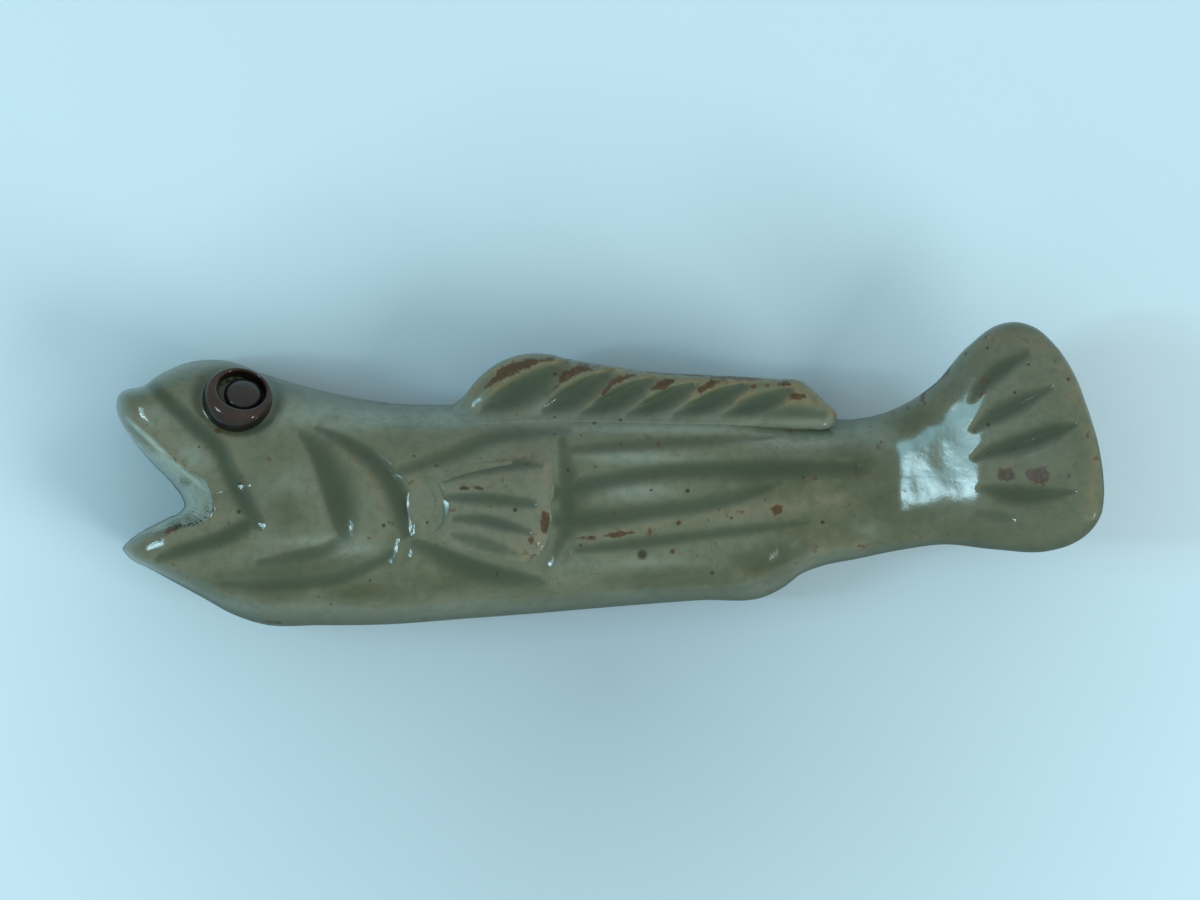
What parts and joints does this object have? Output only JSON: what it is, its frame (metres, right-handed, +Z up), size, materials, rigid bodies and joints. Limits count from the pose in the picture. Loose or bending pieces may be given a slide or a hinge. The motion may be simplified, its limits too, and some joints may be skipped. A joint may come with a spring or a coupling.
{
  "type": "chopstick rest",
  "caption": "Glazed stoneware chopstick rest: a fish lying on its side with an open mouth, pressed lines, laid-in fins and eye, and a raised tail with a dip before it for the chopsticks.",
  "frame": {"origin": "middle of the overall box in plan, on the table level that the flat base lies on", "axes": "+X runs from the lips to the tail, +Y from the belly to the back, +Z up from the table"},
  "size_m": [0.0658, 0.0202, 0.0123],
  "materials": {
    "body_clay": "glossy celadon-grey glaze, pooled green in the pressed lines and broken rust-brown on the thin edges, with iron specks; bare clay underneath",
    "back_fin_clay": "the same glossy glaze, thinner and rust-brown along the outer edge and the ridges between the rays",
    "side_fin_clay": "the same glossy glaze with a few rust-brown spots",
    "eye_ring_clay": "thin glossy glaze that breaks brown over the ring",
    "pupil_clay": "dark brown, glossy"
  },
  "bodies": {
    "root": {"body": "body_clay", "dorsal_fin": "back_fin_clay", "pectoral_fin": "side_fin_clay", "eye_ring": "eye_ring_clay", "eye_pupil": "pupil_clay"}
  },
  "joints": []
}
